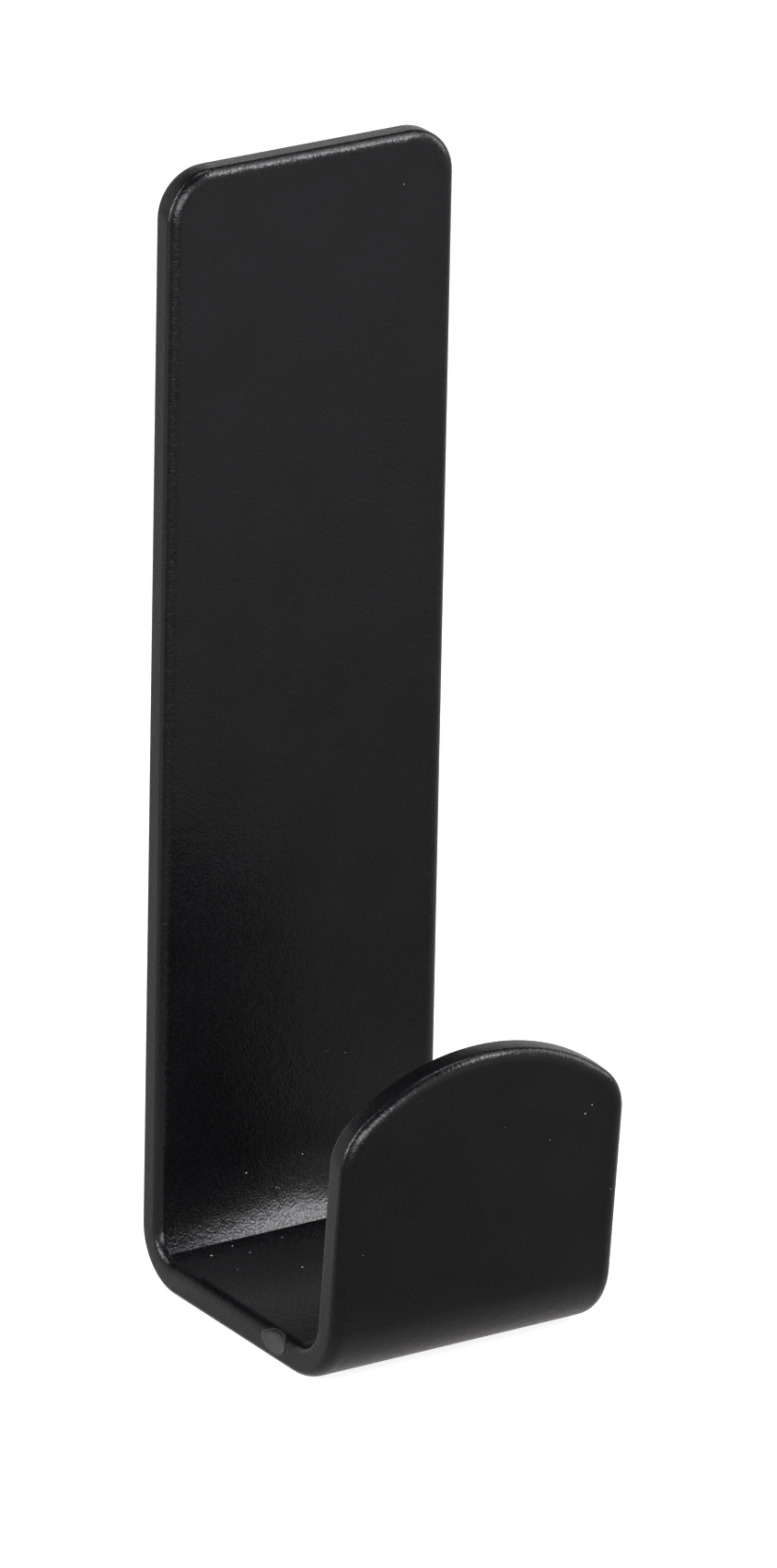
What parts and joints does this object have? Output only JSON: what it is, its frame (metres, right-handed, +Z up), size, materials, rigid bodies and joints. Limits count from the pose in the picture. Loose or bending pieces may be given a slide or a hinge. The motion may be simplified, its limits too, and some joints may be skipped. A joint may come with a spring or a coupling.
{
  "type": "adhesive hook",
  "caption": "Flat steel strip folded into a J-shaped wall hook with an arched front flap, black powder coat and a foam adhesive pad on its back.",
  "frame": {"origin": "centre of the adhesive pad's free face, in the plane of the wall", "axes": "+Y into the wall, +Z up along the plate, and the hook stands out towards -Y"},
  "size_m": [0.02, 0.024, 0.0709],
  "materials": {
    "black_powder_coat": "satin powder coat with a fine orange peel",
    "adhesive_foam": "matte foam with a tacky face"
  },
  "bodies": {
    "root": {"hook_body": "black_powder_coat", "adhesive_pad": "adhesive_foam"}
  },
  "joints": []
}
